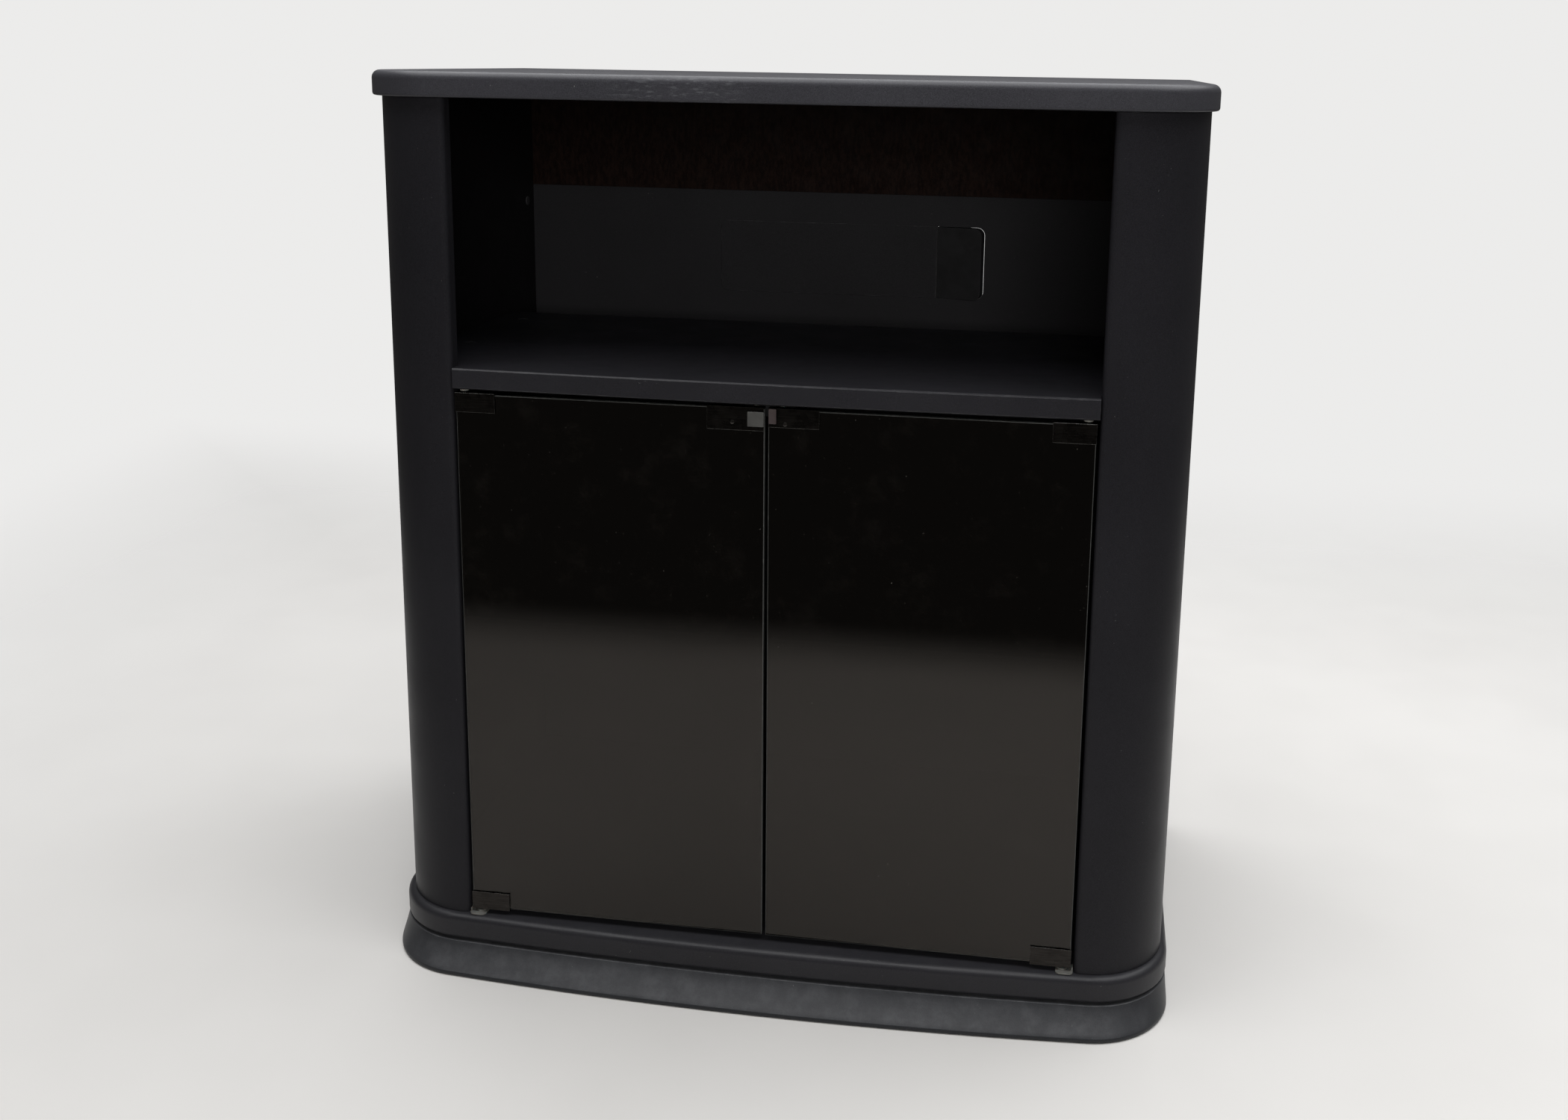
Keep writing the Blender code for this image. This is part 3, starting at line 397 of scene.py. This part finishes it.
MATERIALS = {
    "laminate": laminate("laminate", *FOIL, dust=0.06),
    "laminate_column_shaded": laminate("laminate_column_shaded", *COLUMN_FOIL_SHADED, dust=0.04, gloss=0.12),
    "laminate_shelf": laminate("laminate_shelf", *FOIL, dust=0.01),
    "laminate_top_lit": laminate("laminate_top_lit", *TOP_FOIL_LIT, dust=0.035, rubbed=TOP_RUB_MARKS),
    "laminate_base_lit": laminate("laminate_base_lit", *BASE_FOIL_LIT, dust=0.27),
    "laminate_inside": laminate(
        "laminate_inside", *INSIDE_FOIL, dust=0.03, sheen_low=0.42, sheen_high=0.55
    ),
    "laminate_back_lit": laminate("laminate_back_lit", *BACK_FOIL_LIT, dust=0.04),
    "smoked_glass": smoked_glass(),
    "ground_glass": ground_glass(),
    "dark_steel": metal(
        "dark_steel", *BLACK_STEEL, rough=(0.22, 0.38), brushed=(0.06, 1, 1), stained=0.12
    ),
    "bright_steel": metal("bright_steel", *ZINC_STEEL, rough=(0.16, 0.34)),
    "rivet_steel": metal("rivet_steel", *RIVET_STEEL, rough=(0.25, 0.4)),
    "bearing_steel": metal("bearing_steel", *BEARING_STEEL, rough=(0.26, 0.44)),
    "nylon": plastic("nylon", *GREY_NYLON, rough=(0.42, 0.58), soft=0.1),
    "pad_plastic": plastic("pad_plastic", *GREY_PAD, rough=PAD_ROUGH),
    "pad_plastic_pink": plastic("pad_plastic_pink", *PINKISH_PAD, rough=PAD_ROUGH),
    "black_plastic": plastic("black_plastic", *BLACK_PLASTIC, rough=(0.36, 0.55)),
    "port_plastic": plastic("port_plastic", *PORT_PLASTIC, rough=(0.36, 0.5), dirt=0.1),
    "hardboard": hardboard(),
}


# Pieces.


def clean_mesh(node):
    """The node's mesh with its triangles welded and its flat faces merged."""
    bm = bmesh.new()
    bm.from_mesh(NODES[node].data)
    for layer in list(bm.loops.layers.uv):
        bm.loops.layers.uv.remove(layer)
    bmesh.ops.remove_doubles(bm, verts=bm.verts, dist=WELD)
    bmesh.ops.dissolve_limit(
        bm,
        angle_limit=math.radians(FLAT_ANGLE),
        verts=bm.verts,
        edges=bm.edges,
        use_dissolve_boundaries=False,
    )
    return bm


def soften(bm, bevel, segments=2):
    """Rounds the sharp edges and marks the faces that this makes in the attribute edge."""
    layer = bm.loops.layers.float.new("edge")
    if not bevel:
        return
    limit = math.radians(SHARP_ANGLE)
    sharp = [e for e in bm.edges if e.is_manifold and e.calc_face_angle() > limit]
    made = bmesh.ops.bevel(
        bm, geom=sharp, offset=bevel, segments=segments, profile=0.5,
        affect="EDGES", clamp_overlap=True, harden_normals=False,
    )
    for face in made["faces"]:
        for loop in face.loops:
            loop[layer] = 1.0


def to_piece(name, bm, materials, nodes):
    """A piece on the body of the CAD nodes that it stands for."""
    mesh = bpy.data.meshes.new(name)
    bm.to_mesh(mesh)
    bm.free()
    mesh.shade_smooth()
    mesh.set_sharp_from_angle(angle=math.radians(SMOOTH_ANGLE))
    for each in materials:
        mesh.materials.append(MATERIALS[each])
    piece = bpy.data.objects.new(name, mesh)
    flat = piece.modifiers.new("flat_faces", "WEIGHTED_NORMAL")
    flat.keep_sharp = True
    bpy.context.scene.collection.objects.link(piece)
    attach(piece, NODES[nodes[0]]["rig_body"])
    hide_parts(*nodes)
    return piece


def refine(node, material, bevel):
    """A piece of the CAD node's own shape, with rounded edges."""
    bm = clean_mesh(node)
    soften(bm, bevel)
    return to_piece(node + "_look", bm, [material], [node])


def make_glass(word):
    """A door's pane. Its narrow faces are ground."""
    node = word + "_glass"
    bm = clean_mesh(node)
    soften(bm, AS_IN_CAD)
    for face in bm.faces:
        face.material_index = 0 if abs(face.normal.y) > BROAD_FACE else 1
    to_piece(node + "_look", bm, ["smoked_glass", "ground_glass"], [node])


def make_boards():
    refine("top_board", "laminate_top_lit", ROUND_BOARD)
    refine("bottom_board", "laminate", ROUND_INNER)
    refine("middle_shelf", "laminate_shelf", ROUND_INNER)
    for word in SIDES:
        refine(word + "_column", "laminate_column_shaded", ROUND_BOARD)
        make_side(word)
    refine("back_panel", "laminate_back_lit", AS_IN_CAD)
    refine("base_plinth", "laminate_base_lit", ROUND_BOARD)
    make_upper_back()


def make_upper_back():
    """The hardboard above the back panel, standing on the panel's edge."""
    bm = clean_mesh("upper_back_board")
    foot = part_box("upper_back_board")[0].z
    for vert in bm.verts:
        if vert.co.z < foot + FIT:
            vert.co.z -= FIT
    soften(bm, AS_IN_CAD)
    to_piece("upper_back_board_look", bm, ["hardboard"], ["upper_back_board"])


def make_port_cover():
    """The fixed cover of the cable port, pressed tight into its hole."""
    low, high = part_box("cable_port_cover")
    bm = clean_mesh("cable_port_cover")
    for vert in bm.verts:
        vert.co.x = high.x - (high.x - vert.co.x) * (1 + FIT / (high.x - low.x))
        vert.co.z += FIT * (2 * (vert.co.z - low.z) / (high.z - low.z) - 1)
    soften(bm, ROUND_COVER, segments=3)
    to_piece("cable_port_cover_look", bm, ["laminate_back_lit"], ["cable_port_cover"])


def make_port_flap():
    """The flap of the cable port, with a narrow slit along its free edge."""
    low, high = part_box("cable_port_flap")
    bm = clean_mesh("cable_port_flap")
    for vert in bm.verts:
        vert.co.x += FLAP_REACH * (vert.co.x - low.x) / (high.x - low.x)
    soften(bm, ROUND_FLAP, segments=3)
    to_piece("cable_port_flap_look", bm, ["port_plastic"], ["cable_port_flap"])


def make_side(word):
    """A side panel: foil outside, a much darker copy of the foil on its inner face."""
    node = word + "_side_panel"
    side = -1 if word == "left" else 1
    bm = clean_mesh(node)
    soften(bm, ROUND_SIDE)
    for face in bm.faces:
        face.material_index = 1 if face.normal.x * side < -INNER_FACE else 0
    to_piece(node + "_look", bm, ["laminate_column_shaded", "laminate_inside"], [node])


def make_fittings():
    for word in SIDES:
        make_glass(word)
        for end in ("top", "bottom"):
            refine(f"{word}_{end}_hinge_clamp", "dark_steel", ROUND_SHEET)
            refine(f"{word}_{end}_clamp_screw", "bright_steel", ROUND_SMALL)
            refine(f"{word}_{end}_bush", "nylon", ROUND_NYLON)
        refine(word + "_strike", "dark_steel", ROUND_SHEET)
        refine(word + "_strike_rivet", "rivet_steel", AS_IN_CAD)
        pad = "pad_plastic" if word == "left" else "pad_plastic_pink"
        refine(word + "_push_pad", pad, AS_IN_CAD)
        refine(word + "_plunger", "nylon", ROUND_NYLON)
        refine(word + "_magnet", "bright_steel", ROUND_SMALL)
        for cap in ("front_shelf_cap", "rear_shelf_cap", "side_cap"):
            refine(f"{word}_{cap}", "black_plastic", ROUND_SMALL)
    refine("latch_body", "black_plastic", AS_IN_CAD)
    make_port_cover()
    make_port_flap()


def make_screws():
    """Screws with a cross recess in the head."""
    heads = [(f"back_panel_screw_{i}", (0, 1, 0)) for i in range(1, 7)]
    heads += [(f"latch_screw_{end}", (0, 0, -1)) for end in ("front", "rear")]
    heads += [(f"swivel_lower_screw_{i}", (0, 0, 1)) for i in (1, 2, 3)]
    heads += [(f"swivel_upper_screw_{i}", (0, 0, -1)) for i in (1, 2, 3)]
    for node, direction in heads:
        low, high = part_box(node)
        out = Vector(direction)
        middle = (low + high) / 2
        reach = abs(out.dot(high - middle))
        top = middle + out * reach
        radius = max(high - low - Vector(map(abs, out)) * 2 * reach) / 2
        piece = refine(node, "bright_steel", ROUND_SMALL)
        cross_recess(piece, top, out, radius)


def cross_recess(piece, top, out, radius):
    """Cuts a tapered cross into the head of a screw. out is the way the head's top faces."""
    turn = Vector((0, 0, 1)).rotation_difference(out).to_matrix().to_4x4()
    half = radius * RECESS_HALF
    for angle in (45, 135):
        bm = bmesh.new()
        rings = []
        for level, share in ((-radius * RECESS_DEPTH, RECESS_TAPER), (RECESS_ABOVE, 1.0)):
            arm = radius * RECESS_ARM * share
            corners = [(-arm, -half), (arm, -half), (arm, half), (-arm, half)]
            rings.append([bm.verts.new((x, y, level)) for x, y in corners])
        for i in range(4):
            j = (i + 1) % 4
            bm.faces.new((rings[0][i], rings[0][j], rings[1][j], rings[1][i]))
        bm.faces.new(rings[0][::-1])
        bm.faces.new(rings[1])
        spin = Matrix.Rotation(math.radians(angle), 4, "Z")
        bmesh.ops.transform(bm, matrix=Matrix.Translation(top) @ turn @ spin, verts=bm.verts)
        mesh = bpy.data.meshes.new("recess")
        bm.to_mesh(mesh)
        bm.free()
        cutter = bpy.data.objects.new("recess", mesh)
        bpy.context.scene.collection.objects.link(cutter)
        modifier = piece.modifiers.new("recess", "BOOLEAN")
        modifier.operation = "DIFFERENCE"
        modifier.solver = "EXACT"
        modifier.object = cutter
        bpy.context.view_layer.update()
        graph = bpy.context.evaluated_depsgraph_get()
        cut = bpy.data.meshes.new_from_object(piece.evaluated_get(graph))
        piece.modifiers.clear()
        piece.data = cut
        bpy.data.objects.remove(cutter)


def make_bearing():
    for node in ("swivel_lower_plate", "swivel_upper_plate"):
        refine(node, "bearing_steel", ROUND_SMALL)
    refine("swivel_ball_ring", "bearing_steel", AS_IN_CAD)


# Floor, light and camera.


def make_floor():
    """A pale floor that fades into the backdrop away from the object."""
    t = Tree("floor")
    tone = t.ramp(t.noise(1.4, 4, 0.6), 0.3, 0.7)
    color = t.mix(tone, *FLOOR_TONES)
    rough = t.ramp(t.noise(8, 3), 0.3, 0.7, 0.62, 0.75)
    material = t.shade(color, rough, t.bump(t.noise(500, 3), 0.0002, 0.3))
    split = t.node("ShaderNodeSeparateXYZ")
    t.feed(split.inputs[0], t.place)
    front = t.ramp(split.outputs["Y"], FLOOR_FRONT, FLOOR_FRONT + FLOOR_FADE, 1.0, 0.0)
    sideways = t.ramp(t.math("ABSOLUTE", split.outputs["X"]), *FLOOR_REACH)
    back = t.ramp(split.outputs["Y"], *FLOOR_REACH)
    fade = t.math("MAXIMUM", t.math("MAXIMUM", sideways, back), front)
    blend = t.node("ShaderNodeMixShader")
    surface = t.nodes["Principled BSDF"].outputs["BSDF"]
    t.feed(blend.inputs[0], fade)
    t.links.new(surface, blend.inputs[1])
    t.links.new(t.node("ShaderNodeBsdfTransparent").outputs[0], blend.inputs[2])
    t.links.new(blend.outputs[0], t.nodes["Material Output"].inputs["Surface"])
    bm = bmesh.new()
    reach = FLOOR_REACH[1] + FLOOR_MARGIN
    corners = [(-reach, FLOOR_FRONT), (reach, FLOOR_FRONT), (reach, reach), (-reach, reach)]
    bm.faces.new([bm.verts.new((x, y, 0.0)) for x, y in corners])
    mesh = bpy.data.meshes.new("floor")
    bm.to_mesh(mesh)
    bm.free()
    mesh.materials.append(material)
    floor = bpy.data.objects.new("floor", mesh)
    bpy.context.scene.collection.objects.link(floor)


def add_area_light(name, at, target, size, power, color, spread=180.0, mirrored=True):
    data = bpy.data.lights.new(name, "AREA")
    data.shape = "RECTANGLE"
    data.size, data.size_y = size
    data.energy = power
    data.color = color
    data.spread = math.radians(spread)
    light = bpy.data.objects.new(name, data)
    light.location = at
    light.rotation_euler = (Vector(target) - Vector(at)).to_track_quat("-Z", "Y").to_euler()
    light.visible_camera = False
    light.visible_glossy = mirrored
    bpy.context.scene.collection.objects.link(light)


def make_world():
    """A pale backdrop for the camera. The object is lit by a dark room instead."""
    world = bpy.data.worlds.new("studio")
    world.use_nodes = True
    bpy.context.scene.world = world
    nodes, links = world.node_tree.nodes, world.node_tree.links
    nodes.clear()
    path = nodes.new("ShaderNodeLightPath")
    seen = nodes.new("ShaderNodeBackground")
    seen.inputs["Color"].default_value = BACKDROP
    room = nodes.new("ShaderNodeBackground")
    room.inputs["Color"].default_value = ROOM
    mix = nodes.new("ShaderNodeMixShader")
    output = nodes.new("ShaderNodeOutputWorld")
    links.new(path.outputs["Is Camera Ray"], mix.inputs[0])
    links.new(room.outputs[0], mix.inputs[1])
    links.new(seen.outputs[0], mix.inputs[2])
    links.new(mix.outputs[0], output.inputs["Surface"])


def make_camera():
    data = bpy.data.cameras.new("camera")
    data.sensor_fit = "HORIZONTAL"
    data.sensor_width = CAMERA_SENSOR
    data.lens = CAMERA_LENS
    data.shift_x, data.shift_y = CAMERA_SHIFT
    camera = bpy.data.objects.new("camera", data)
    turn = (
        Matrix.Rotation(CAMERA_YAW, 4, "Z")
        @ Matrix.Rotation(math.pi / 2 + CAMERA_PITCH, 4, "X")
        @ Matrix.Rotation(CAMERA_ROLL, 4, "Z")
    )
    camera.matrix_world = Matrix.Translation(CAMERA_AT) @ turn
    bpy.context.scene.collection.objects.link(camera)
    bpy.context.scene.camera = camera


make_boards()
make_fittings()
make_screws()
make_bearing()
make_floor()
make_world()
make_camera()
add_area_light("overhead", **OVERHEAD_LIGHT)
add_area_light("front", **FRONT_LIGHT)
bpy.context.scene.view_settings.view_transform = "Standard"
